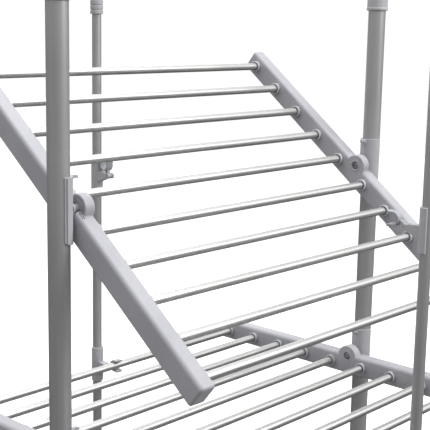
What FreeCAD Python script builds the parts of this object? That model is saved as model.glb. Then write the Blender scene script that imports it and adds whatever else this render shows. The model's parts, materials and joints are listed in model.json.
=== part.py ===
import FreeCAD, Part
import math
import os

from FreeCAD import Vector

# A free-standing three-tier clothes drying tower, in millimetres.
# X runs along the rods, Y from the front to the rear, Z up.
# The origin is on the floor, midway between the four posts.

# overall layout
THICK_SPAN = 700.0      # between the axes of the two thick side posts
THIN_SPAN = 664.0       # between the axes of the two thin front and rear posts
LOWEST_HUB = 382.0      # height of the lowest pivot
TIER_STEP = 346.0       # from one pivot to the next
TIERS = ("bottom", "middle", "top")
REST_TILT = {"bottom": 0.0, "middle": 0.0, "top": 38.0}     # degrees, rear edge up

# posts
THICK_R = 15.0
THICK_WALL = 1.5
THIN_R = 8.0
THIN_WALL = 1.2
POST_FOOT_Z = 20.0
THICK_TOP_Z = 1376.0
THIN_TOP_Z = 1366.0

# post caps
THICK_CAP_SKIRT = 36.0
THIN_CAP_SKIRT = 40.0
CAP_WALL = 3.0
CAP_CROWN = 9.0

# shelf, measured from its pivot axis with the shelf level
ROD_R = 6.4
ROD_WALL = 0.9
ROD_PITCH = 62.0
ROD_CENTRE_GAP = 66.0
RODS_EACH_SIDE = 5
ROD_DROP = 14.5
ROD_END_X = 322.0
RAIL_INNER_X = 304.0
RAIL_WIDTH = 26.5
RAIL_TOP = 3.0
RAIL_BOTTOM = -32.0
RAIL_HALF_LENGTH = 304.0
RAIL_TOP_ROUND = 6.0
RAIL_BOTTOM_ROUND = 3.0
RAIL_END_ROUND = 4.0
RAIL_WALL = 3.0
RIB_HALF = 9.5          # half the solid width left round each rod socket
COLLAR_R = 9.2
COLLAR_LENGTH = 6.0
COLLAR_MOUTH_R = 7.4
COLLAR_MOUTH_DEPTH = 3.0
EAR_R = 18.5
EAR_WIDTH = 16.5       # it stops short of the rail's outer face, over a shoulder
EAR_ROUND = 1.4
EAR_DISH_R = 15.2
EAR_DISH_DEPTH = 1.2
SHOULDER_R = 9.6        # the clearance cut in the shoulder round the spacer
RECESS_R = 6.6
RECESS_DEPTH = 6.0
CELL_SIDE = 2.0
CELL_PITCH = 3.0
CELL_DEPTH = 2.5
CELL_ROWS = 4
CELL_COLUMNS = 2
CELL_FIRST_X = 322.6
CELL_FIRST_Y = 12.4

# pivot screw, spacer and nut
PIVOT_R = 4.0
PIVOT_CLEARANCE = 0.06
PIVOT_HEAD_R = 5.4
PIVOT_HEAD_LENGTH = 3.4
HEAD_GAP = 0.1
SPACER_R = 5.6
SPACER_FLANGE_R = 8.6
SPACER_FLANGE = 2.2
NUT_R = 7.0
NUT_LENGTH = 7.0

# pivot bracket, a moulding that wraps the inner side of a thick post
BRACKET_R = 18.5
BRACKET_HALF_HEIGHT = 44.0
BRACKET_WRAP = 98.0     # degrees each way from the inner side
BRACKET_EDGE_R = 16.7   # its free edges are thinned to this over the last few millimetres
BRACKET_EDGE = 2.6
BRACKET_SLOPE = 14.0    # how far its lower end rises towards its free edges
HOOK_HALF_WIDTH = 3.0
HOOK_REACH = 11.3
HOOK_ROOT = 2.0
BRACKET_SCREW_Z = -33.0
SCREW_R = 2.0
SCREW_HEAD_R = 3.4
SCREW_HEAD_DEPTH = 1.4

# rod clip: a sleeve round the inner side of a thin post, a fork, and a jaw that flips up
SLEEVE_R = 10.6
SLEEVE_WRAP = 112.0     # degrees each way from the inner side
SLEEVE_TOP = 8.0
SLEEVE_BOTTOM = -54.0
SLEEVE_SCREW_Z = (-2.0, -42.0)
HINGE_Y = 299.0
HINGE_Z = -23.0
HINGE_PIN_R = 1.6
HINGE_CLEARANCE = 0.05
SLEEVE_SCREW_R = 1.5
SLEEVE_SCREW_HEAD_R = 2.6
SLEEVE_SCREW_HEAD_DEPTH = 1.2
SCREW_SINK = 0.4        # how far a flush screw's head lies below the surface
FORK_R = 4.8
FORK_GAP_HALF = 3.3
CLIP_HALF_WIDTH = 6.5
JAW_SLOT_HALF = 6.9
JAW_PRONG = 5.0
JAW_WEB = 3.5
JAW_TIP_Y = 273.0
JAW_LIP = 1.4
JAW_KNUCKLE_R = 4.4
JAW_KNUCKLE_HALF = 3.0

# base
PAD_HEIGHT = 8.0
ARM_R = 12.5
ARM_WALL = 1.5
ARM_Z = 36.0
SOCKET_R = 16.5
FOOT_FLARE = 12.0
FOOT_TOP_Z = 92.0
THICK_FOOT_R = 20.0
THIN_FOOT_R = 14.0
THICK_FOOT_FLARE_R = 31.0
THIN_FOOT_FLARE_R = 27.0
THICK_PAD_R = 28.0
THIN_PAD_R = 24.0
FOOT_SOCKET_REACH = 56.0
HUB_R = 38.0
HUB_REACH = 62.0
HUB_CORE = 14.0
ARM_SCREW_OFFSET = 14.0

X_AXIS = Vector(1, 0, 0)
Z_AXIS = Vector(0, 0, 1)


def cylinder(radius, length, start, axis):
    return Part.makeCylinder(radius, length, start, axis)


def tube(radius, wall, length, start, axis):
    inner = cylinder(radius - wall, length, start, axis)
    return cylinder(radius, length, start, axis).cut(inner)


def box(low, high):
    size = [high[i] - low[i] for i in range(3)]
    return Part.makeBox(size[0], size[1], size[2], Vector(*low))


def polygon_prism(points, half_width):
    """A prism along X, from -half_width to half_width, on a closed outline of (y, z) points."""
    corners = [Vector(-half_width, y, z) for y, z in points]
    face = Part.Face(Part.makePolygon(corners + corners[:1]))
    return face.extrude(Vector(2 * half_width, 0, 0))


def fuse_all(shapes):
    whole = shapes[0].multiFuse(shapes[1:])
    return whole.removeSplitter()


def cut_all(shape, tools):
    return shape.cut(tools[0].multiFuse(tools[1:])) if len(tools) > 1 else shape.cut(tools[0])


def turned(shape, degrees, axis=Z_AXIS, centre=Vector(0, 0, 0)):
    copy = shape.copy()
    copy.rotate(centre, axis, degrees)
    return copy


def moved(shape, x, y, z):
    copy = shape.copy()
    copy.translate(Vector(x, y, z))
    return copy


def mirrored_x(shape):
    return shape.mirror(Vector(0, 0, 0), X_AXIS)


def rounded(shape, radius, wanted):
    """Rounds the edges that wanted(edge) picks."""
    edges = [e for e in shape.Edges if wanted(e)]
    return shape.makeFillet(radius, edges)


def rod_places():
    """Where the rods lie along the rail, from the front to the rear."""
    half = [ROD_CENTRE_GAP / 2 + ROD_PITCH * k for k in range(RODS_EACH_SIDE)]
    return [-y for y in reversed(half)] + half


def hub_height(tier):
    return LOWEST_HUB + TIER_STEP * TIERS.index(tier)


# ---------------------------------------------------------------- shelves

def rail_section():
    """The rail's outline across its length, with wide rounds on top and small ones below."""
    left, right = RAIL_INNER_X, RAIL_INNER_X + RAIL_WIDTH
    low, high = RAIL_BOTTOM, RAIL_TOP
    big, small = RAIL_TOP_ROUND, RAIL_BOTTOM_ROUND
    y = -RAIL_HALF_LENGTH

    def arc(cx, cz, radius, start):
        points = []
        for degrees in (start, start + 45, start + 90):
            a = math.radians(degrees)
            points.append(Vector(cx + radius * math.cos(a), y, cz + radius * math.sin(a)))
        return Part.Arc(*points).toShape()

    arcs = [
        arc(right - big, high - big, big, 0),
        arc(left + big, high - big, big, 90),
        arc(left + small, low + small, small, 180),
        arc(right - small, low + small, small, 270),
    ]
    edges = []
    for this, following in zip(arcs, arcs[1:] + arcs[:1]):
        edges.append(this)
        edges.append(Part.makeLine(this.lastVertex(True).Point, following.firstVertex(True).Point))
    return Part.Face(Part.Wire(edges))


def rail_bar():
    bar = rail_section().extrude(Vector(0, 2 * RAIL_HALF_LENGTH, 0))
    at_end = RAIL_HALF_LENGTH - 0.01
    return rounded(bar, RAIL_END_ROUND,
                   lambda e: all(abs(v.Point.y) > at_end for v in e.Vertexes)
                   and abs(e.CenterOfMass.y) > at_end)


def rail_ear():
    """The round ear that carries the pivot, with a shallow dish in its outer face."""
    ear = cylinder(EAR_R, EAR_WIDTH, Vector(RAIL_INNER_X, 0, 0), X_AXIS)
    ear = rounded(ear, EAR_ROUND, lambda e: e.Closed and abs(e.Length - 2 * math.pi * EAR_R) < 0.1)
    return ear


def shoulder_cuts():
    """The dish in the ear's outer face and the clearance in the rail behind it for the spacer."""
    face = RAIL_INNER_X + EAR_WIDTH
    dish = cylinder(EAR_DISH_R, EAR_DISH_DEPTH, Vector(face - EAR_DISH_DEPTH, 0, 0), X_AXIS)
    above = box((face - 5, -40, RAIL_TOP), (face + 1, 40, 40))
    bore = cylinder(SHOULDER_R, RAIL_WIDTH, Vector(face - EAR_DISH_DEPTH, 0, 0), X_AXIS)
    return [dish.common(above), bore]


def rail_pockets():
    """The open cells in the rail's underside, between the ribs that hold the rods."""
    inner, outer = RAIL_INNER_X + RAIL_WALL, RAIL_INNER_X + RAIL_WIDTH - RAIL_WALL
    places = rod_places()
    spans = [(a + RIB_HALF, b - RIB_HALF) for a, b in zip(places, places[1:])]
    spans = [s for s in spans if abs(s[0] + s[1]) > 1.0]
    end = RAIL_HALF_LENGTH - RAIL_WALL - 1
    spans.append((places[-1] + RIB_HALF, end))
    spans.append((-end, places[0] - RIB_HALF))
    top = RAIL_TOP - RAIL_WALL
    return [box((inner, a, RAIL_BOTTOM - 1), (outer, b, top)) for a, b in spans]


def right_rail():
    """The right-hand rail, level, with its pivot axis on the X axis."""
    solids = [rail_bar(), rail_ear()]
    cuts = rail_pockets()
    for y in rod_places():
        mouth = Vector(RAIL_INNER_X - COLLAR_LENGTH, y, -ROD_DROP)
        collar = cylinder(COLLAR_R, COLLAR_LENGTH + 1, mouth, X_AXIS)
        collar = rounded(collar, 0.8,
                         lambda e: e.Closed and e.CenterOfMass.x < RAIL_INNER_X - COLLAR_LENGTH + 0.1)
        solids.append(collar)
        cuts.append(cylinder(COLLAR_MOUTH_R, COLLAR_MOUTH_DEPTH, mouth, X_AXIS))
        cuts.append(cylinder(ROD_R, ROD_END_X - mouth.x, mouth, X_AXIS))
    face = Vector(RAIL_INNER_X, 0, 0)
    cuts.append(cylinder(RECESS_R, RECESS_DEPTH, face, X_AXIS))
    cuts.append(cylinder(PIVOT_R + PIVOT_CLEARANCE, RAIL_WIDTH, face, X_AXIS))
    cuts.extend(shoulder_cuts())
    cuts.extend(shoulder_cells())
    return cut_all(fuse_all(solids), cuts)


def shoulder_cells():
    """Small square moulding cells in the rail's shoulder, to the front and rear of the spacer."""
    half = CELL_SIDE / 2
    cells = []
    for sign in (-1, 1):
        for column in range(CELL_COLUMNS):
            for row in range(CELL_ROWS):
                x = CELL_FIRST_X + CELL_PITCH * column
                y = sign * (CELL_FIRST_Y + CELL_PITCH * row)
                low = (x - half, y - half, RAIL_TOP - CELL_DEPTH)
                high = (x + half, y + half, RAIL_TOP + 1)
                cells.append(box(low, high))
    return cells


def shelf_rods():
    length = 2 * ROD_END_X
    rods = []
    for y in rod_places():
        rods.append(tube(ROD_R, ROD_WALL, length, Vector(-ROD_END_X, y, -ROD_DROP), X_AXIS))
    return rods


# ---------------------------------------------------------------- pivots

def pivot_screw():
    """The screw that a shelf turns on at the right post, head inwards, on the X axis."""
    seat = RAIL_INNER_X + RECESS_DEPTH - HEAD_GAP
    head = cylinder(PIVOT_HEAD_R, PIVOT_HEAD_LENGTH, Vector(seat - PIVOT_HEAD_LENGTH, 0, 0), X_AXIS)
    head = rounded(head, 1.2, lambda e: e.Closed and e.CenterOfMass.x < seat - PIVOT_HEAD_LENGTH + 0.1)
    slot_x = seat - PIVOT_HEAD_LENGTH - 1
    slots = [
        box((slot_x, -3.2, -0.7), (slot_x + 2.8, 3.2, 0.7)),
        box((slot_x, -0.7, -3.2), (slot_x + 2.8, 0.7, 3.2)),
    ]
    nut_end = THICK_SPAN / 2 - THICK_R + THICK_WALL + NUT_LENGTH
    shank = cylinder(PIVOT_R, nut_end - seat, Vector(seat, 0, 0), X_AXIS)
    return cut_all(fuse_all([head, shank]), slots)


def pivot_spacer():
    """The flanged bush between the ear and the bracket, flange against the bracket."""
    bracket_face = THICK_SPAN / 2 - BRACKET_R
    start = RAIL_INNER_X + EAR_WIDTH - EAR_DISH_DEPTH + HEAD_GAP
    sleeve = cylinder(SPACER_R, bracket_face - start, Vector(start, 0, 0), X_AXIS)
    flange = cylinder(SPACER_FLANGE_R, SPACER_FLANGE, Vector(bracket_face - SPACER_FLANGE, 0, 0), X_AXIS)
    return fuse_all([sleeve, flange]).cut(cylinder(PIVOT_R, 30, Vector(start - 1, 0, 0), X_AXIS))


def pivot_nut():
    """A six-sided nut inside the thick post."""
    start = THICK_SPAN / 2 - THICK_R + THICK_WALL
    corners = []
    for k in range(6):
        a = math.radians(60 * k)
        corners.append(Vector(start, NUT_R * math.cos(a), NUT_R * math.sin(a)))
    prism = Part.Face(Part.makePolygon(corners + corners[:1])).extrude(Vector(NUT_LENGTH, 0, 0))
    post_inside = cylinder(THICK_R - THICK_WALL, 40, Vector(THICK_SPAN / 2, 0, -20), Z_AXIS)
    hole = cylinder(PIVOT_R, 20, Vector(start - 1, 0, 0), X_AXIS)
    return prism.common(post_inside).cut(hole)


def bracket():
    """A pivot bracket for the left post: post axis on Z, inner side towards +X."""
    height = 2 * BRACKET_HALF_HEIGHT
    shell = tube(BRACKET_R, BRACKET_R - THICK_R, height, Vector(0, 0, -BRACKET_HALF_HEIGHT), Z_AXIS)
    back = BRACKET_R * math.cos(math.radians(BRACKET_WRAP))
    reach = BRACKET_R + 5
    shell = shell.cut(box((-reach, -reach, -height), (back, reach, height)))
    edge = tube(BRACKET_R + 5, BRACKET_R + 5 - BRACKET_EDGE_R, 2 * height, Vector(0, 0, -height), Z_AXIS)
    shell = shell.cut(edge.common(box((-reach, -reach, -height), (back + BRACKET_EDGE, reach, height))))
    # the lower end is cut back at a slant towards its two free edges
    low = -BRACKET_HALF_HEIGHT
    slope = [(-reach, low + BRACKET_SLOPE), (4, low), (-reach, low)]
    wedge = Part.Face(Part.makePolygon([Vector(x, -reach, z) for x, z in slope + slope[:1]]))
    shell = shell.cut(wedge.extrude(Vector(0, 2 * reach, 0)))
    root, tip, top = BRACKET_R - HOOK_ROOT, BRACKET_R + HOOK_REACH, BRACKET_HALF_HEIGHT
    hook = [(root, top), (tip - 1.2, top), (tip, top - 1.0), (tip, top - 3.6), (tip - 1.0, top - 4.4),
            (tip - 2.2, top - 3.4), (root + 6.5, top - 3.8), (root + 3.7, top - 5.8),
            (root + 1.9, top - 11.0), (root, top - 11.0)]
    profile = Part.Face(Part.makePolygon([Vector(x, -HOOK_HALF_WIDTH, z) for x, z in hook + hook[:1]]))
    tab = profile.extrude(Vector(0, 2 * HOOK_HALF_WIDTH, 0))
    body = fuse_all([shell, tab])
    cuts = [
        cylinder(THICK_R, height + 2, Vector(0, 0, -BRACKET_HALF_HEIGHT - 1), Z_AXIS),
        cylinder(PIVOT_R, 30, Vector(0, 0, 0), X_AXIS),
        bracket_screw(),
    ]
    return cut_all(body, cuts)


def bracket_screw():
    """A flush screw through the bracket and the post's wall, below the pivot."""
    tip = THICK_R - THICK_WALL - 2
    shank = cylinder(SCREW_R, BRACKET_R - tip - SCREW_SINK, Vector(tip, 0, BRACKET_SCREW_Z), X_AXIS)
    head_x = BRACKET_R - SCREW_SINK - SCREW_HEAD_DEPTH
    head = cylinder(SCREW_HEAD_R, SCREW_HEAD_DEPTH, Vector(head_x, 0, BRACKET_SCREW_Z), X_AXIS)
    return fuse_all([shank, head])


# ---------------------------------------------------------------- rod clips

def clip_sleeve():
    """The fixed half of a clip on the rear post, as placed in the row's X and Y, pivot height at 0."""
    post_y = THIN_SPAN / 2
    height = SLEEVE_TOP - SLEEVE_BOTTOM
    ring = cylinder(SLEEVE_R, height, Vector(0, post_y, SLEEVE_BOTTOM), Z_AXIS)
    ring = rounded(ring, 1.0, lambda e: e.Closed)
    back = post_y - SLEEVE_R * math.cos(math.radians(SLEEVE_WRAP))
    ring = ring.cut(box((-20, back, SLEEVE_BOTTOM - 1), (20, post_y + 20, SLEEVE_TOP + 1)))
    arm = polygon_prism([
        (post_y - 4, HINGE_Z - 14), (HINGE_Y + 2.5, HINGE_Z - FORK_R + 0.7),
        (HINGE_Y + 2.5, HINGE_Z + FORK_R - 0.7), (post_y - 4, HINGE_Z + FORK_R + 1.2),
    ], CLIP_HALF_WIDTH)
    knuckle = cylinder(FORK_R, 2 * CLIP_HALF_WIDTH, Vector(-CLIP_HALF_WIDTH, HINGE_Y, HINGE_Z), X_AXIS)
    body = fuse_all([ring, arm, knuckle])
    gap = box((-FORK_GAP_HALF, HINGE_Y - 10, HINGE_Z - 20), (FORK_GAP_HALF, HINGE_Y + 8.5, HINGE_Z + 20))
    cuts = [
        gap,
        cylinder(THIN_R, height + 2, Vector(0, post_y, SLEEVE_BOTTOM - 1), Z_AXIS),
        cylinder(HINGE_PIN_R, 30, Vector(-15, HINGE_Y, HINGE_Z), X_AXIS),
    ]
    cuts.extend(sleeve_screws())
    return cut_all(body, cuts)


def sleeve_screws():
    """Two flush screws through the sleeve's inner side into the thin post."""
    surface = THIN_SPAN / 2 - SLEEVE_R
    inward = Vector(0, -1, 0)
    tip = THIN_SPAN / 2 - THIN_R + THIN_WALL + 1
    screws = []
    for z in SLEEVE_SCREW_Z:
        shank = cylinder(SLEEVE_SCREW_R, tip - surface - SCREW_SINK, Vector(0, tip, z), inward)
        head_y = surface + SCREW_SINK + SLEEVE_SCREW_HEAD_DEPTH
        head = cylinder(SLEEVE_SCREW_HEAD_R, SLEEVE_SCREW_HEAD_DEPTH, Vector(0, head_y, z), inward)
        screws.append(fuse_all([shank, head]))
    return screws


def clip_hinge_pin():
    length = 2 * CLIP_HALF_WIDTH - 1
    return cylinder(HINGE_PIN_R, length, Vector(-length / 2, HINGE_Y, HINGE_Z), X_AXIS)


def clip_jaw():
    """The C-shaped jaw closed on the rear rod, mouth towards the middle of the rack."""
    rod_z = -ROD_DROP
    web_in = rod_places()[-1] + JAW_SLOT_HALF
    web_out = web_in + JAW_WEB
    high, low = rod_z + JAW_SLOT_HALF, rod_z - JAW_SLOT_HALF
    top, bottom = high + JAW_PRONG, low - JAW_PRONG
    outline = [
        (web_out, bottom + 1.5), (web_out, top - 1.5), (web_out - 1.5, top),
        (JAW_TIP_Y + 1.2, top - 1.0), (JAW_TIP_Y, top - 2.2),
        (JAW_TIP_Y, high - JAW_LIP + 0.8), (JAW_TIP_Y + 0.8, high - JAW_LIP), (JAW_TIP_Y + 2.6, high),
        (web_in - 1.5, high), (web_in, high - 1.5),
        (web_in, low + 1.5), (web_in - 1.5, low),
        (JAW_TIP_Y + 2.6, low), (JAW_TIP_Y + 0.8, low + JAW_LIP), (JAW_TIP_Y, low + JAW_LIP - 0.8),
        (JAW_TIP_Y, bottom + 2.2), (JAW_TIP_Y + 1.2, bottom + 1.0), (web_out - 1.5, bottom),
    ]
    channel = polygon_prism(outline, CLIP_HALF_WIDTH)
    link = polygon_prism([
        (web_out - 2.0, bottom + 0.4), (HINGE_Y, HINGE_Z - JAW_KNUCKLE_R + 0.3),
        (HINGE_Y, HINGE_Z + JAW_KNUCKLE_R - 0.3), (web_out - 0.5, HINGE_Z + 12),
    ], JAW_KNUCKLE_HALF)
    knuckle = cylinder(JAW_KNUCKLE_R, 2 * JAW_KNUCKLE_HALF,
                       Vector(-JAW_KNUCKLE_HALF, HINGE_Y, HINGE_Z), X_AXIS)
    body = fuse_all([channel, link, knuckle])
    return body.cut(cylinder(HINGE_PIN_R + HINGE_CLEARANCE, 30, Vector(-15, HINGE_Y, HINGE_Z), X_AXIS))


# ---------------------------------------------------------------- posts and caps

def pivot_holes():
    """Holes in the left thick post's inner wall for the pivots and bracket screws."""
    holes = []
    for tier in TIERS:
        z = hub_height(tier)
        holes.append(cylinder(PIVOT_R, THICK_R + 5, Vector(0, 0, z), X_AXIS))
        holes.append(cylinder(SCREW_R, THICK_R + 5, Vector(0, 0, z + BRACKET_SCREW_Z), X_AXIS))
    return holes


def thick_post():
    """The left thick post, standing on the origin, inner side towards +X."""
    post = tube(THICK_R, THICK_WALL, THICK_TOP_Z - POST_FOOT_Z, Vector(0, 0, POST_FOOT_Z), Z_AXIS)
    return cut_all(post, pivot_holes())


def thin_post():
    """The rear thin post in place."""
    y = THIN_SPAN / 2
    post = tube(THIN_R, THIN_WALL, THIN_TOP_Z - POST_FOOT_Z, Vector(0, y, POST_FOOT_Z), Z_AXIS)
    holes = []
    for tier in TIERS:
        for z in SLEEVE_SCREW_Z:
            centre = Vector(0, y, hub_height(tier) + z)
            holes.append(cylinder(SLEEVE_SCREW_R, THIN_R + 2, centre, Vector(0, -1, 0)))
    return cut_all(post, holes)


def revolved(points):
    """A solid turned about Z from a closed outline of (radius, z) points."""
    outline = [Vector(r, 0, z) for r, z in points]
    face = Part.Face(Part.makePolygon(outline + outline[:1]))
    return face.revolve(Vector(0, 0, 0), Z_AXIS, 360)


def dome_points(radius, low, crown, steps=5):
    points = []
    for k in range(steps + 1):
        a = math.radians(90.0 * k / steps)
        points.append((radius * math.cos(a), low + crown * math.sin(a)))
    return points


def thick_cap():
    """A moulded cap over the top of a thick post, with a rounded lip at the bottom of its skirt."""
    outer = THICK_R + CAP_WALL
    low = THICK_TOP_Z - THICK_CAP_SKIRT
    outline = [(THICK_R, low), (outer - 0.8, low), (outer + 0.3, low + 1.4), (outer + 0.3, low + 4.0),
               (outer - 0.3, low + 5.4)]
    outline += dome_points(outer - 0.3, THICK_TOP_Z - 1, CAP_CROWN + 1)
    outline += [(0, THICK_TOP_Z), (THICK_R, THICK_TOP_Z)]
    return revolved(outline)


def thin_cap():
    """A ribbed cap over the top of a thin post."""
    outer = THIN_R + CAP_WALL
    groove = outer - 1.0
    low = THIN_TOP_Z - THIN_CAP_SKIRT
    band, gap = 6.4, 1.6
    outline = [(THIN_R, low)]
    for k in range(4):
        start = low + k * (band + gap)
        outline += [(outer - 0.4, start), (outer, start + 0.4), (outer, start + band - 0.4),
                    (outer - 0.4, start + band), (groove, start + band), (groove, start + band + gap)]
    outline += dome_points(outer, THIN_TOP_Z - 1, CAP_CROWN - 1)
    outline += [(0, THIN_TOP_Z), (THIN_R, THIN_TOP_Z)]
    return revolved(outline)


# ---------------------------------------------------------------- base

def foot(post_r, outer_r, flare_r):
    """A foot under a post on the Z axis, with a socket for an arm towards +X."""
    low = PAD_HEIGHT
    skirt = revolved([(0, low), (flare_r, low), (flare_r, low + 4), (flare_r - 3, low + FOOT_FLARE),
                      (outer_r + 1.5, low + FOOT_FLARE + 14), (outer_r, FOOT_TOP_Z - 16),
                      (outer_r, FOOT_TOP_Z - 2), (outer_r - 1.5, FOOT_TOP_Z), (0, FOOT_TOP_Z)])
    socket = cylinder(SOCKET_R, FOOT_SOCKET_REACH, Vector(0, 0, ARM_Z), X_AXIS)
    socket = rounded(socket, 1.2, lambda e: e.Closed and e.CenterOfMass.x > FOOT_SOCKET_REACH - 1)
    body = fuse_all([skirt, socket])
    cuts = [
        cylinder(post_r, FOOT_TOP_Z, Vector(0, 0, POST_FOOT_Z), Z_AXIS),
        cylinder(ARM_R, FOOT_SOCKET_REACH, Vector(post_r + 3, 0, ARM_Z), X_AXIS),
        moved(arm_screw(), FOOT_SOCKET_REACH - ARM_SCREW_OFFSET, 0, 0),
    ]
    return cut_all(body, cuts)


def arm(post_r, span):
    """An arm towards the base hub from a post on the Z axis, lying along +X."""
    start = post_r + 3
    length = span / 2 - start - HUB_CORE
    post_tube = tube(ARM_R, ARM_WALL, length, Vector(start, 0, ARM_Z), X_AXIS)
    holes = [
        moved(arm_screw(), FOOT_SOCKET_REACH - ARM_SCREW_OFFSET, 0, 0),
        moved(arm_screw(), span / 2 - HUB_REACH + ARM_SCREW_OFFSET, 0, 0),
    ]
    return cut_all(post_tube, holes)


def arm_screw():
    """A screw down through a socket's top into the arm inside it."""
    top = ARM_Z + SOCKET_R
    shank = cylinder(1.8, 8, Vector(0, 0, top - 8.6), Z_AXIS)
    head = cylinder(3.4, 2.0, Vector(0, 0, top - 2.6), Z_AXIS)
    return fuse_all([shank, head])


def foot_pad(radius):
    return revolved([(0, 0), (radius - 2.0, 0), (radius, 1.5), (radius, PAD_HEIGHT - 1.5),
                     (radius - 1.0, PAD_HEIGHT), (0, PAD_HEIGHT)])


def base_hub():
    """The cross hub in the middle of the base: a round core with four sockets."""
    core = revolved([(0, ARM_Z - SOCKET_R - 2), (HUB_R - 3, ARM_Z - SOCKET_R - 2),
                     (HUB_R, ARM_Z - SOCKET_R + 1), (HUB_R, ARM_Z + 8), (HUB_R - 6, ARM_Z + SOCKET_R),
                     (HUB_R - 16, ARM_Z + SOCKET_R + 4), (0, ARM_Z + SOCKET_R + 5)])
    solids = [core]
    cuts = []
    for k in range(4):
        socket = cylinder(SOCKET_R, HUB_REACH, Vector(0, 0, ARM_Z), X_AXIS)
        socket = rounded(socket, 1.2, lambda e: e.Closed and e.CenterOfMass.x > HUB_REACH - 1)
        solids.append(turned(socket, 90 * k))
        bore = cylinder(ARM_R, HUB_REACH, Vector(HUB_CORE, 0, ARM_Z), X_AXIS)
        cuts.append(turned(bore, 90 * k))
        cuts.append(turned(moved(arm_screw(), HUB_REACH - ARM_SCREW_OFFSET, 0, 0), 90 * k))
    return cut_all(fuse_all(solids), cuts)


# ---------------------------------------------------------------- assembly

# how a part made for a post on the Z axis, facing +X, is turned and placed at each post
POSTS = {
    "left": (0, -THICK_SPAN / 2, 0.0),
    "front": (90, 0.0, -THIN_SPAN / 2),
    "right": (180, THICK_SPAN / 2, 0.0),
    "rear": (270, 0.0, THIN_SPAN / 2),
}


def at_post(shape, side):
    degrees, x, y = POSTS[side]
    return moved(turned(shape, degrees), x, y, 0)


def save(name, *shapes):
    whole = shapes[0] if len(shapes) == 1 else Part.makeCompound(list(shapes))
    solids = whole.Solids
    bad = [s for s in solids if not s.isValid() or s.Volume <= 0]
    print(name, len(solids), "solids", round(sum(s.Volume for s in solids) / 1000.0, 2), "cm3",
          "INVALID" if bad else "")
    out = solids[0] if len(solids) == 1 else Part.makeCompound(solids)
    out.exportStep(os.path.join("parts", name + ".step"))


def make_frame():
    save("left_post", at_post(thick_post(), "left"))
    save("right_post", at_post(thick_post(), "right"))
    save("rear_post", thin_post())
    save("front_post", turned(thin_post(), 180))
    for side in ("left", "right"):
        save(side + "_post_cap", at_post(thick_cap(), side))
    for side in ("front", "rear"):
        save(side + "_post_cap", at_post(thin_cap(), side))


def make_base():
    pads = []
    screws = []
    feet = {
        "thick": foot(THICK_R, THICK_FOOT_R, THICK_FOOT_FLARE_R),
        "thin": foot(THIN_R, THIN_FOOT_R, THIN_FOOT_FLARE_R),
    }
    for side in POSTS:
        thick = side in ("left", "right")
        post_r = THICK_R if thick else THIN_R
        span = THICK_SPAN if thick else THIN_SPAN
        save(side + "_foot", at_post(feet["thick" if thick else "thin"], side))
        save(side + "_arm", at_post(arm(post_r, span), side))
        pads.append(at_post(foot_pad(THICK_PAD_R if thick else THIN_PAD_R), side))
        for x in (FOOT_SOCKET_REACH - ARM_SCREW_OFFSET, span / 2 - HUB_REACH + ARM_SCREW_OFFSET):
            screws.append(at_post(moved(arm_screw(), x, 0, 0), side))
    save("foot_pads", *pads)
    save("arm_screws", *screws)
    save("base_hub", base_hub())


def make_tier(tier, rail, rods, small):
    z = hub_height(tier)
    tilt = REST_TILT[tier]

    def shelf_place(shape):
        return moved(turned(shape, tilt, X_AXIS), 0, 0, z)

    save(tier + "_right_rail", shelf_place(rail))
    save(tier + "_left_rail", shelf_place(mirrored_x(rail)))
    save(tier + "_rods", *[shelf_place(rod) for rod in rods])

    for side in ("left", "right"):
        save(tier + "_" + side + "_bracket", moved(at_post(bracket(), side), 0, 0, z))
        small["bracket_screws"].append(moved(at_post(bracket_screw(), side), 0, 0, z))
    for degrees in (0, 180):
        for name, maker in (("pivot_screws", pivot_screw), ("pivot_spacers", pivot_spacer),
                            ("pivot_nuts", pivot_nut)):
            small[name].append(moved(turned(maker(), degrees), 0, 0, z))

    for side, degrees in (("rear", 0), ("front", 180)):
        save(tier + "_" + side + "_clip_sleeve", moved(turned(clip_sleeve(), degrees), 0, 0, z))
        jaw = clip_jaw()
        if tilt and side == "rear":
            # the rear clip of a tilted shelf stands flipped up, out of the rods' way
            jaw = turned(jaw, -90, X_AXIS, Vector(0, HINGE_Y, HINGE_Z))
        save(tier + "_" + side + "_clip_jaw", moved(turned(jaw, degrees), 0, 0, z))
        small["clip_hinge_pins"].append(moved(turned(clip_hinge_pin(), degrees), 0, 0, z))
        for screw in sleeve_screws():
            small["clip_sleeve_screws"].append(moved(turned(screw, degrees), 0, 0, z))


def main():
    os.makedirs("parts", exist_ok=True)
    make_frame()
    make_base()
    names = ("bracket_screws", "pivot_screws", "pivot_spacers", "pivot_nuts",
             "clip_hinge_pins", "clip_sleeve_screws")
    small = {name: [] for name in names}
    rail = right_rail()
    rods = shelf_rods()
    for tier in TIERS:
        make_tier(tier, rail, rods, small)
    for name, solids in small.items():
        save(name, *solids)


main()
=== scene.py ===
import json
import math
import bpy
from mathutils import Matrix, Vector


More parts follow.
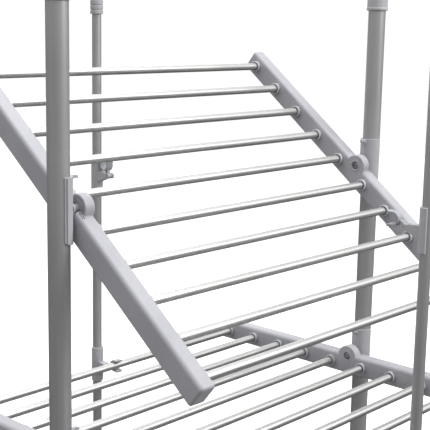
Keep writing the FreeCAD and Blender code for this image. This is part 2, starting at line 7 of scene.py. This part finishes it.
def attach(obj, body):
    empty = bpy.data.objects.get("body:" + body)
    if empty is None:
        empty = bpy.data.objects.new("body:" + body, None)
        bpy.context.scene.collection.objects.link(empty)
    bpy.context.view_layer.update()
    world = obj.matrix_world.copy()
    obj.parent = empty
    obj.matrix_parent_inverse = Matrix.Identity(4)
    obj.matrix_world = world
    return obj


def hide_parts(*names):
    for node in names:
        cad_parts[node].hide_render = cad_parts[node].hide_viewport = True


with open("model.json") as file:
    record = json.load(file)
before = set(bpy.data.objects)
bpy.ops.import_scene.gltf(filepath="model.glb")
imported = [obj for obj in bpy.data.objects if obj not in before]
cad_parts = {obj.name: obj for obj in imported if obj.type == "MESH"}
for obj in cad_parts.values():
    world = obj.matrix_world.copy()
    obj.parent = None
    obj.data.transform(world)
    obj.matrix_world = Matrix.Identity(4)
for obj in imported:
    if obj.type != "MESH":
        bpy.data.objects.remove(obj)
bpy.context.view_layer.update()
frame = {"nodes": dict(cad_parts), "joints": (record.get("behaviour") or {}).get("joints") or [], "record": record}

TIERS = ("bottom", "middle", "top")
SIDES = ("left", "right")
ENDS = ("front", "rear")


# ---------------------------------------------------------------- camera and node helpers

CAMERA_PLACE = (-1.1761, -1.0364, 1.3178)
CAMERA_HEADING = 46.895     # degrees from +Y towards +X
CAMERA_PITCH = -10.356
CAMERA_ROLL = 1.011
CAMERA_LENS = 86.68
CAMERA_SHIFT = (0.0164, -0.0117)


def place_camera():
    heading, pitch, roll = (math.radians(a) for a in (CAMERA_HEADING, CAMERA_PITCH, CAMERA_ROLL))
    ahead = Vector((math.sin(heading) * math.cos(pitch), math.cos(heading) * math.cos(pitch),
                    math.sin(pitch)))
    level = Vector((math.cos(heading), -math.sin(heading), 0.0))
    upright = level.cross(ahead)
    across = level * math.cos(roll) + upright * math.sin(roll)
    up = upright * math.cos(roll) - level * math.sin(roll)
    lens = bpy.data.cameras.new("camera")
    lens.sensor_width = 36.0
    lens.lens = CAMERA_LENS
    lens.shift_x, lens.shift_y = CAMERA_SHIFT
    camera = bpy.data.objects.new("camera", lens)
    bpy.context.scene.collection.objects.link(camera)
    turn = Matrix((across, up, -ahead)).transposed().to_4x4()
    camera.matrix_world = Matrix.Translation(CAMERA_PLACE) @ turn
    bpy.context.scene.camera = camera


place_camera()


class Reading:
    """A number that changes over a surface. Arithmetic on it adds Math nodes."""

    def __init__(self, nodes, socket):
        self.nodes = nodes
        self.socket = socket

    def _math(self, operation, *values):
        return self.nodes.node("ShaderNodeMath", {"operation": operation}, dict(enumerate(values)))

    def __add__(self, other):
        return self._math("ADD", self, other)

    def __mul__(self, other):
        return self._math("MULTIPLY", self, other)

    __radd__ = __add__
    __rmul__ = __mul__


class Nodes:
    """A node tree, and the one way that a node is added to it."""

    def __init__(self, tree):
        self.tree = tree

    def node(self, kind, settings=None, sockets=None, out=0):
        made = self.tree.nodes.new(kind)
        for name, value in (settings or {}).items():
            if name == "stops":
                self.set_stops(made.color_ramp, value)
            else:
                setattr(made, name, value)
        for name, value in (sockets or {}).items():
            self.join(made.inputs[name], value)
        return Reading(self, made.outputs[out])

    def set_stops(self, ramp, stops):
        """Gives a ramp its stops. A new ramp already has two."""
        for k, (at, colour) in enumerate(stops):
            stop = ramp.elements[k] if k < 2 else ramp.elements.new(at)
            stop.position, stop.color = at, (*colour, 1.0)

    def join(self, socket, value):
        if isinstance(value, Reading):
            self.tree.links.new(value.socket, socket)
        elif hasattr(value, "__len__") and socket.type == "RGBA":
            socket.default_value = (*value[:3], 1.0)
        else:
            socket.default_value = value

    def between(self, reading, low, high, start=0.0, end=1.0):
        """The reading, spread from start..end to low..high and held there."""
        return self.node("ShaderNodeMapRange", {"clamp": True}, {
            "Value": reading, "From Min": start, "From Max": end, "To Min": low, "To Max": high})

    def mixed(self, factor, first, second):
        return self.node("ShaderNodeMix", {"data_type": "RGBA"}, {0: factor, 6: first, 7: second}, out=2)


class Finish(Nodes):
    """A material and the nodes that make it."""

    def __init__(self, name, constants=None):
        self.material = bpy.data.materials.new(name)
        self.material.use_nodes = True
        super().__init__(self.material.node_tree)
        self.shader = self.tree.nodes["Principled BSDF"]
        for socket, value in (constants or {}).items():
            self.shader.inputs[socket].default_value = value

    def drive(self, socket, value):
        self.join(self.shader.inputs[socket], value)

    def place(self, stretch=(1, 1, 1)):
        """Where a point lies on the object, with each axis scaled."""
        spot = self.node("ShaderNodeTexCoord", out="Object")
        return self.node("ShaderNodeMapping", sockets={"Vector": spot, "Scale": stretch})

    def noise(self, scale, stretch=(1, 1, 1), detail=3.0, roughness=0.55):
        return self.node("ShaderNodeTexNoise", sockets={
            "Vector": self.place(stretch), "Scale": scale, "Detail": detail, "Roughness": roughness})

    def softened(self, radius):
        """The surface's normal with all edges eased over, and a mask of how near the edges a point is, which the
        finishes use for painted highlights.
        """
        eased = self.node("ShaderNodeBevel", {"samples": 4}, {"Radius": radius})
        flat = self.node("ShaderNodeNewGeometry", out="Normal")
        match = self.node("ShaderNodeVectorMath", {"operation": "DOT_PRODUCT"},
                          {0: eased, 1: flat}, out="Value")
        return eased, self.between(match, 1.0, 0.0, 0.75, 0.99)

    def bump(self, height, strength, distance, normal=None):
        sockets = {"Strength": strength, "Distance": distance, "Height": height}
        if normal:
            sockets["Normal"] = normal
        self.drive("Normal", self.node("ShaderNodeBump", sockets=sockets))


# ---------------------------------------------------------------- finishes

def moulded_plastic(name, light, dark, roughness, ease=0.0006):
    """Grained, injection-moulded plastic with cloudy flow, and a painted highlight that makes its edges paler."""
    finish = Finish(name, {"IOR": 1.47})
    normal, painted_edge_highlight = finish.softened(ease)
    cloud = finish.noise(14.0, detail=4.0)
    grain = finish.noise(1400.0, detail=2.0)
    mottle = finish.noise(260.0, detail=3.0)
    tone = finish.mixed(finish.between(cloud * 0.6 + mottle * 0.4, 0.0, 1.0, 0.38, 0.62), dark, light)
    # painted highlight: the colour turns paler near edges, standing in for light caught on them
    painted_highlight_colour = tuple(min(1.0, c * 1.2 + 0.04) for c in light)
    finish.drive("Base Color", finish.mixed(painted_edge_highlight * 0.5, tone, painted_highlight_colour))
    finish.drive("Roughness", finish.between(cloud * 0.6 + grain * 0.4,
                                             roughness - 0.06, roughness + 0.08, 0.3, 0.7))
    finish.bump(grain, 0.25, 0.0002, normal)
    return finish.material


def coated_tube(name):
    """Satin metallic coating on tube, with a fine orange peel and faint upright scuffs."""
    finish = Finish(name, {"Metallic": 0.6, "IOR": 1.5})
    peel = finish.noise(420.0, detail=2.0)
    scuff = finish.noise(160.0, stretch=(1, 1, 0.03), detail=3.0)
    cloud = finish.noise(6.0, detail=3.0)
    tone = finish.mixed(finish.between(cloud, 0, 1, 0.3, 0.7), (0.42, 0.42, 0.425), (0.50, 0.498, 0.50))
    worn = finish.between(scuff, 0.0, 0.35, 0.5, 0.8)
    finish.drive("Base Color", finish.mixed(worn, tone, (0.56, 0.56, 0.56)))
    finish.drive("Roughness", finish.between(scuff * 0.7 + peel * 0.3, 0.34, 0.48, 0.3, 0.7))
    finish.bump(peel, 0.12, 0.0002)
    return finish.material


def drawn_aluminium(name):
    """Satin tube with hair-fine lines drawn along it, and duller handled stretches."""
    finish = Finish(name, {"Metallic": 1.0})
    lines = finish.noise(2600.0, stretch=(0.004, 1, 1), detail=2.0)
    handled = finish.noise(7.0, stretch=(1, 3, 3), detail=3.0)
    smudge = finish.between(handled, 0.0, 1.0, 0.48, 0.6)
    tone = finish.mixed(smudge * 0.6, (0.64, 0.64, 0.63), (0.52, 0.52, 0.51))
    bright = finish.between(lines, 0.0, 0.4, 0.35, 0.7)
    finish.drive("Base Color", finish.mixed(bright, tone, (0.72, 0.72, 0.71)))
    finish.drive("Roughness", finish.between(lines, 0.36, 0.44, 0.3, 0.7) + smudge * 0.06)
    finish.bump(lines, 0.08, 0.00005)
    return finish.material


def turned_steel(name):
    """Bare steel with fine turning marks, and a painted highlight that makes it brighter along its edges."""
    finish = Finish(name, {"Metallic": 1.0})
    normal, painted_edge_highlight = finish.softened(0.0004)
    mark = finish.noise(1100.0, stretch=(1, 0.1, 1), detail=2.0)
    # painted highlight: the colour is brighter near edges
    finish.drive("Base Color", finish.mixed(painted_edge_highlight, (0.62, 0.62, 0.63), (0.85, 0.85, 0.85)))
    finish.drive("Roughness", finish.between(mark, 0.18, 0.34, 0.3, 0.7))
    finish.bump(mark, 0.15, 0.0001, normal)
    return finish.material


def nickel_plate(name):
    """Plating with fine turning marks, and a painted highlight that makes it paler along its edges."""
    finish = Finish(name, {"Metallic": 0.75, "IOR": 1.8})
    normal, painted_edge_highlight = finish.softened(0.0003)
    mark = finish.noise(1500.0, stretch=(0.2, 1, 1), detail=2.0)
    # painted highlight: the colour is much paler near edges
    finish.drive("Base Color", finish.mixed(painted_edge_highlight, (0.34, 0.34, 0.35), (0.75, 0.75, 0.75)))
    finish.drive("Roughness", finish.between(mark, 0.22, 0.36, 0.3, 0.7))
    finish.bump(mark, 0.1, 0.0001, normal)
    return finish.material


def soft_rubber(name):
    """Dusty black rubber with a fine grain, and a painted highlight that makes its edges paler."""
    finish = Finish(name, {"IOR": 1.5})
    normal, painted_edge_highlight = finish.softened(0.0008)
    grain = finish.noise(700.0, detail=3.0)
    dust = finish.noise(40.0, detail=4.0)
    tone = finish.mixed(finish.between(dust, 0.0, 1.0, 0.45, 0.75),
                        (0.035, 0.035, 0.038), (0.075, 0.073, 0.07))
    # painted highlight: the colour is paler near edges
    finish.drive("Base Color", finish.mixed(painted_edge_highlight * 0.4, tone, (0.13, 0.13, 0.13)))
    finish.drive("Roughness", finish.between(grain, 0.62, 0.85, 0.3, 0.7))
    finish.bump(grain, 0.3, 0.0003, normal)
    return finish.material


rail_grey = moulded_plastic("rail_grey", (0.445, 0.447, 0.475), (0.40, 0.402, 0.43), 0.42)
fitting_grey = moulded_plastic("fitting_grey", (0.48, 0.482, 0.50), (0.43, 0.432, 0.45), 0.4)
clip_grey = moulded_plastic("clip_grey", (0.42, 0.425, 0.45), (0.35, 0.355, 0.38), 0.34)
collar_grey = moulded_plastic("collar_grey", (0.60, 0.605, 0.62), (0.54, 0.545, 0.56), 0.36)
post_coat = coated_tube("post_coat")
rod_metal = drawn_aluminium("rod_metal")
screw_steel = turned_steel("screw_steel")
bright_steel = nickel_plate("bright_steel")
pad_rubber = soft_rubber("pad_rubber")

FINISHES = {"rail_plastic": rail_grey, "fitting_plastic": fitting_grey, "clip_plastic": clip_grey,
            "post_metal": post_coat, "rod_metal": rod_metal, "screw_steel": screw_steel,
            "pad_rubber": pad_rubber}


def finish_cad_nodes():
    slots = {s["node"]: s["material_slot"] for s in frame["record"]["subparts"]}
    for name, node in frame["nodes"].items():
        node.data.materials.clear()
        node.data.materials.append(FINISHES[slots[name]])


finish_cad_nodes()


# ---------------------------------------------------------------- modelled pieces

HUB_Z = {j["child"].removesuffix("_shelf"): j["pos_m"][2]
         for j in frame["joints"] if j["child"].endswith("_shelf")}
REST_TILT = {"bottom": 0.0, "middle": 0.0, "top": 38.0}     # degrees, rear edge up
ROD_PLACES = [s * (0.033 + 0.062 * k) for s in (-1, 1) for k in range(5)]
ROD_DROP = 0.0145           # the rods lie this far below the pivots
RAIL_INNER = 0.304          # a rail's inner face, from the middle of the rack
EAR_OUTER = 0.3205          # the outer face of its pivot ear
COLLAR_REACH = 0.0066       # a rod collar stands this far in from the rail

# the rear clip of a level shelf, measured from the pivots
HINGE = Vector((0, 0.299, -0.023))
LAST_ROD = Vector((0, 0.281, -ROD_DROP))
JAW_WIDTH = 0.013
JAW_WALL = 0.0034
JAW_MOUTH = 0.0069          # half the inside of the U
JAW_TIP = 0.2722
JAW_LIP_RUN = 0.0022        # each lip turns out over this length
JAW_LIP_RISE = 0.0011
JAW_BEND_STEPS = 12
NECK_SIZE = (0.0060, 0.0070)        # width and height
NECK_LIFT = 0.0020          # the neck's middle, above the hinge pin
NECK_SLANT = 0.0035         # and how much higher it meets the U
NECK_OVERLAP = 0.0012       # from the inside of the U's bend
KNUCKLE_RADIUS = 0.0044
KNUCKLE_WIDTH = 0.0060

# the pivot screw's head: inset and rise of the dome's two steps, the socket's rim and its floor
HEAD_RADIUS = 0.0053
HEAD_HEIGHT = 0.0016
HEAD_GAP = 0.0014           # from the rail's inner face
HEAD_STEPS = ((0.0011, 0.0005), (0.0013, 0.0003), (0.0004, 0), (0.0001, -0.0016))


def clear_selection():
    bpy.ops.object.select_all(action="DESELECT")


def settle(piece, name):
    """Names a new primitive and puts its place into its mesh."""
    piece.name = piece.data.name = name
    bpy.ops.object.transform_apply(location=True, rotation=True, scale=True)
    return piece


def rod_of_x(name, radius, length, start, sides=48):
    """A cylinder along X from start, ready to be shaped."""
    clear_selection()
    centre = Vector(start) + Vector((length / 2, 0, 0))
    bpy.ops.mesh.primitive_cylinder_add(vertices=sides, radius=radius, depth=length, end_fill_type="NGON",
                                        location=centre, rotation=(0, math.pi / 2, 0))
    return settle(bpy.context.active_object, name)


def pick_faces(piece, wanted):
    """Goes into edit mode with only the faces that wanted(face) picks."""
    bpy.context.tool_settings.mesh_select_mode = (False, False, True)
    bpy.ops.object.mode_set(mode="EDIT")
    bpy.ops.mesh.select_all(action="DESELECT")
    bpy.ops.object.mode_set(mode="OBJECT")
    for face in piece.data.polygons:
        face.select = bool(wanted(face))
    bpy.ops.object.mode_set(mode="EDIT")


def done_editing():
    bpy.ops.object.mode_set(mode="OBJECT")


def ease_edges(piece, width, segments=3, limit=40):
    made = piece.modifiers.new("ease", "BEVEL")
    made.width, made.segments = width, segments
    made.limit_method, made.angle_limit = "ANGLE", math.radians(limit)
    bpy.context.view_layer.objects.active = piece
    bpy.ops.object.modifier_apply(modifier=made.name)


def ring(name, inner, outer, start, depth, ease):
    """A ring round the X axis with eased rims."""
    piece = rod_of_x(name, outer, depth, (start, 0, 0))
    pick_faces(piece, lambda f: abs(f.normal.x) > 0.9)
    bpy.ops.mesh.inset(thickness=outer - inner, depth=0)
    bpy.ops.mesh.bridge_edge_loops()
    bpy.ops.mesh.select_all(action="SELECT")
    bpy.ops.mesh.normals_make_consistent(inside=False)
    done_editing()
    ease_edges(piece, ease)
    return piece


def joined(parts, name):
    """The parts made one object, which is named."""
    clear_selection()
    for part in parts:
        part.select_set(True)
    bpy.context.view_layer.objects.active = parts[0]
    if len(parts) > 1:
        bpy.ops.object.join()
    parts[0].name = parts[0].data.name = name
    return parts[0]


def copied(piece, name, turns):
    """One object made of a copy of the piece for each matrix in turns."""
    made = []
    for turn in turns:
        twin = piece.copy()
        twin.data = piece.data.copy()
        twin.data.transform(turn)
        bpy.context.scene.collection.objects.link(twin)
        made.append(twin)
    return joined(made, name)


def fit(piece, body, finish, stands_for=()):
    """Gives a finished piece its finish and the body that it rides on."""
    clear_selection()
    piece.select_set(True)
    bpy.context.view_layer.objects.active = piece
    bpy.ops.object.shade_smooth_by_angle(angle=math.radians(35))
    piece.data.materials.clear()
    piece.data.materials.append(finish)
    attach(piece, body)
    if stands_for:
        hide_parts(*stands_for)


def shelf_turn(tier, side="right"):
    """From the right-hand rail of a level shelf at its pivot to a tier and side."""
    turn = Matrix.Translation((0, 0, HUB_Z[tier])) @ Matrix.Rotation(math.radians(REST_TILT[tier]), 4, "X")
    return turn if side == "right" else turn @ Matrix.Rotation(math.pi, 4, "Z")


def post_turn(tier, side):
    """From the right or rear post, pivot height at 0, to a tier and a side or end."""
    turn = Matrix.Translation((0, 0, HUB_Z[tier]))
    return turn if side in ("right", "rear") else turn @ Matrix.Rotation(math.pi, 4, "Z")


def make_collar_lips():
    """A rounded lip at the mouth of every rod collar."""
    lip = ring("collar_lip", inner=0.0077, outer=0.0099, start=RAIL_INNER - COLLAR_REACH,
               depth=0.0022, ease=0.0007)
    for tier in TIERS:
        for side in SIDES:
            turns = [shelf_turn(tier, side) @ Matrix.Translation((0, y, -ROD_DROP)) for y in ROD_PLACES]
            lips = copied(lip, f"{tier}_{side}_collar_lips", turns)
            fit(lips, f"{tier}_shelf", collar_grey)
    bpy.data.objects.remove(lip)


def make_ear_rings():
    """A bezel round each pivot recess, and two ridges in the dish on the ear's other face."""
    bezel = ring("bezel", inner=0.0070, outer=0.0098, start=RAIL_INNER - 0.0007, depth=0.0016, ease=0.0005)
    ridge = {"start": EAR_OUTER - 0.0016, "depth": 0.0013, "ease": 0.0004}
    outer_ridge = ring("outer_ridge", inner=0.0124, outer=0.0137, **ridge)
    inner_ridge = ring("inner_ridge", inner=0.0099, outer=0.0110, **ridge)
    for tier in TIERS:
        for side in SIDES:
            turn = shelf_turn(tier, side)
            parts = [copied(r, "ear_part", [turn]) for r in (bezel, outer_ridge, inner_ridge)]
            rings = joined(parts, f"{tier}_{side}_ear_rings")
            fit(rings, f"{tier}_shelf", rail_grey)
    for spare in (bezel, outer_ridge, inner_ridge):
        bpy.data.objects.remove(spare)


def make_pivot_heads():
    """A domed head on each pivot screw, with a round socket."""
    head = rod_of_x("head", HEAD_RADIUS, HEAD_HEIGHT, (RAIL_INNER + HEAD_GAP, 0, 0))
    pick_faces(head, lambda f: f.normal.x < -0.9)
    for inward, rise in HEAD_STEPS:
        bpy.ops.mesh.inset(thickness=inward, depth=rise)
    done_editing()
    ease_edges(head, 0.0002, 2)
    turns = [post_turn(tier, side) for tier in TIERS for side in SIDES]
    fit(copied(head, "pivot_screw_heads", turns), "frame", bright_steel)
    bpy.data.objects.remove(head)


def jaw_shape():
    """The spring jaw closed on the rearmost rod: a U of even wall with turned-out lips."""
    clear_selection()
    level = LAST_ROD.z + JAW_MOUTH + JAW_WALL / 2
    bpy.ops.mesh.primitive_plane_add(size=1, location=(0, JAW_TIP, level + JAW_LIP_RISE),
                                     rotation=(math.pi / 2, 0, 0))
    jaw = bpy.context.active_object
    jaw.scale = (JAW_WIDTH, JAW_WALL, 1)
    settle(jaw, "jaw")
    bpy.context.tool_settings.mesh_select_mode = (False, False, True)
    bpy.ops.object.mode_set(mode="EDIT")
    bpy.ops.mesh.select_all(action="SELECT")

    def onward(y, z):
        bpy.ops.mesh.extrude_region_move(TRANSFORM_OT_translate={"value": (0, y, z)})

    straight = LAST_ROD.y - JAW_TIP - JAW_LIP_RUN
    onward(JAW_LIP_RUN, -JAW_LIP_RISE)
    onward(straight, 0)
    for _ in range(JAW_BEND_STEPS):
        onward(0, 0)
        bpy.ops.transform.rotate(value=math.pi / JAW_BEND_STEPS, orient_axis="X",
                                 center_override=tuple(LAST_ROD))
    onward(-straight, 0)
    onward(-JAW_LIP_RUN, -JAW_LIP_RISE)
    bpy.ops.mesh.select_all(action="SELECT")
    bpy.ops.mesh.normals_make_consistent(inside=False)
    done_editing()
    ease_edges(jaw, 0.0007, 3, 50)
    return jaw


def lever_shape():
    """The jaw's knuckle on the hinge pin, and the neck that joins it to the U."""
    neck_from = LAST_ROD.y + JAW_MOUTH + NECK_OVERLAP
    width, height = NECK_SIZE
    clear_selection()
    bpy.ops.mesh.primitive_cube_add(size=1, location=(0, (neck_from + HINGE.y) / 2, HINGE.z + NECK_LIFT))
    neck = bpy.context.active_object
    neck.scale = (width, HINGE.y - neck_from, height)
    settle(neck, "neck")
    pick_faces(neck, lambda f: f.normal.y < -0.9)
    bpy.ops.transform.translate(value=(0, 0, NECK_SLANT))
    done_editing()
    ease_edges(neck, 0.0008)
    knuckle = rod_of_x("knuckle", KNUCKLE_RADIUS, KNUCKLE_WIDTH,
                       (-KNUCKLE_WIDTH / 2, HINGE.y, HINGE.z), 32)
    ease_edges(knuckle, 0.0005)
    return joined([knuckle, neck], "lever")


def make_jaws():
    """A spring jaw on each clip. The top rear one is flipped up at rest."""
    jaw, lever = jaw_shape(), lever_shape()
    for tier in TIERS:
        for end in ENDS:
            turn = post_turn(tier, end)
            if tier == "top" and end == "rear":
                turn = (turn @ Matrix.Translation(HINGE) @ Matrix.Rotation(-math.pi / 2, 4, "X")
                        @ Matrix.Translation(-HINGE))
            parts = [copied(p, "jaw_part", [turn]) for p in (jaw, lever)]
            whole = joined(parts, f"{tier}_{end}_spring_jaw")
            fit(whole, f"{tier}_{end}_jaw", clip_grey, (f"{tier}_{end}_clip_jaw",))
    bpy.data.objects.remove(jaw)
    bpy.data.objects.remove(lever)


make_collar_lips()
make_ear_rings()
make_pivot_heads()
make_jaws()


# ---------------------------------------------------------------- studio

FLOOR_RADIUS = 9.0
SKY_LEVELS = ((0.0, 0.12), (0.46, 0.2), (0.52, 0.66), (0.64, 0.9), (1.0, 1.05))     # from below to above
DIM_WAY = (0.73, 0.68, -0.25)       # the far side of the room, low down, is dimmer than the near side


def studio_floor():
    bpy.ops.mesh.primitive_circle_add(vertices=96, radius=FLOOR_RADIUS, fill_type="NGON", location=(0, 0, 0))
    floor = bpy.context.active_object
    floor.name = "studio_floor"
    finish = Finish("floor_white", {"Roughness": 0.9})
    spot = finish.node("ShaderNodeTexCoord", out="Object")
    reach = finish.node("ShaderNodeVectorMath", {"operation": "LENGTH"}, {0: spot}, out="Value")
    # painted shadow: the floor's colour is darker near its middle, under the rack, and whiter further out
    painted_shadow_falloff = finish.between(reach, 0.0, 1.0, 0.5, 1.7)
    finish.drive("Base Color", finish.mixed(painted_shadow_falloff, (0.62, 0.62, 0.63), (0.9, 0.9, 0.9)))
    finish.drive("Emission Color", (1.0, 1.0, 1.0))
    finish.drive("Emission Strength", 0.45)
    floor.data.materials.append(finish.material)
    floor.visible_glossy = False
    floor.visible_diffuse = False


def studio_sky():
    """A white backdrop for the camera, and a soft grey room that lights the rack."""
    world = bpy.data.worlds.new("studio")
    bpy.context.scene.world = world
    world.use_nodes = True
    sky = Nodes(world.node_tree)
    way = sky.node("ShaderNodeTexCoord", out="Generated")
    rise = sky.node("ShaderNodeSeparateXYZ", sockets={0: way}, out="Z")
    stops = [(at, (level, level, level * 1.01)) for at, level in SKY_LEVELS]
    room = sky.node("ShaderNodeValToRGB", {"stops": stops}, {0: sky.between(rise, 0.0, 1.0, -1.0, 1.0)})
    far = sky.node("ShaderNodeVectorMath", {"operation": "DOT_PRODUCT"}, {0: way, 1: DIM_WAY}, out="Value")
    dimmed = sky.mixed(sky.between(far, 0.0, 0.6, 0.3, 0.85), room, (0.12, 0.12, 0.12))
    light = sky.node("ShaderNodeBackground", sockets={"Color": dimmed, "Strength": 0.9})
    backdrop = sky.node("ShaderNodeBackground", sockets={"Color": (1, 1, 1), "Strength": 1.05})
    seen = sky.node("ShaderNodeLightPath", out="Is Camera Ray")
    either = sky.node("ShaderNodeMixShader", sockets={0: seen, 1: light, 2: backdrop})
    sky.join(sky.tree.nodes["World Output"].inputs["Surface"], either)
    sky.tree.nodes.remove(sky.tree.nodes["Background"])


def softbox(name, place, aim, size, watts):
    lamp = bpy.data.lights.new(name, "AREA")
    lamp.shape = "RECTANGLE"
    lamp.size, lamp.size_y = size
    lamp.energy = watts
    holder = bpy.data.objects.new(name, lamp)
    bpy.context.scene.collection.objects.link(holder)
    holder.location = place
    holder.rotation_euler = (Vector(aim) - Vector(place)).to_track_quat("-Z", "Y").to_euler()


studio_floor()
studio_sky()
softbox("rear_fill", (2.2, 2.8, 1.6), (0, 0, 0.8), (2.0, 2.0), 20)
softbox("overhead", (0.3, 0.5, 3.6), (0, 0, 0.9), (2.6, 2.6), 54)
softbox("front_right", (1.2, -2.3, 2.6), (-0.2, -0.1, 1.3), (1.3, 1.3), 54)
bpy.context.scene.view_settings.view_transform = "Standard"
